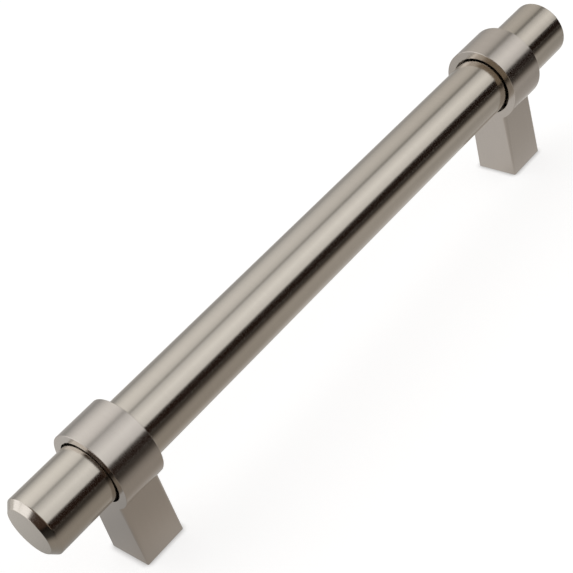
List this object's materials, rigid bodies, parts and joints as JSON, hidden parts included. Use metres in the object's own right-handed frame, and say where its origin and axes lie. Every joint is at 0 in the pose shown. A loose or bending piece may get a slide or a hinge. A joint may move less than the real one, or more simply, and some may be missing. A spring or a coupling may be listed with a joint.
{
  "type": "t bar cabinet pull",
  "caption": "Round solid bar held through cast posts, each a ring on a square leg, for pulling a cabinet door or drawer open.",
  "frame": {"origin": "on the mounting plane, midway between the two mounting holes", "axes": "+X along the bar, +Z from the mounting plane to the bar, +Y across the posts"},
  "size_m": [0.169, 0.0178, 0.0329],
  "materials": {
    "bar": "satin nickel, brushed round the bar",
    "posts": "satin nickel, lightly brushed along the legs",
    "grub_screws": "blackened"
  },
  "bodies": {
    "root": {"bar": "bar", "left_post": "posts", "right_post": "posts", "left_grub_screw": "grub_screws", "right_grub_screw": "grub_screws"}
  },
  "joints": []
}
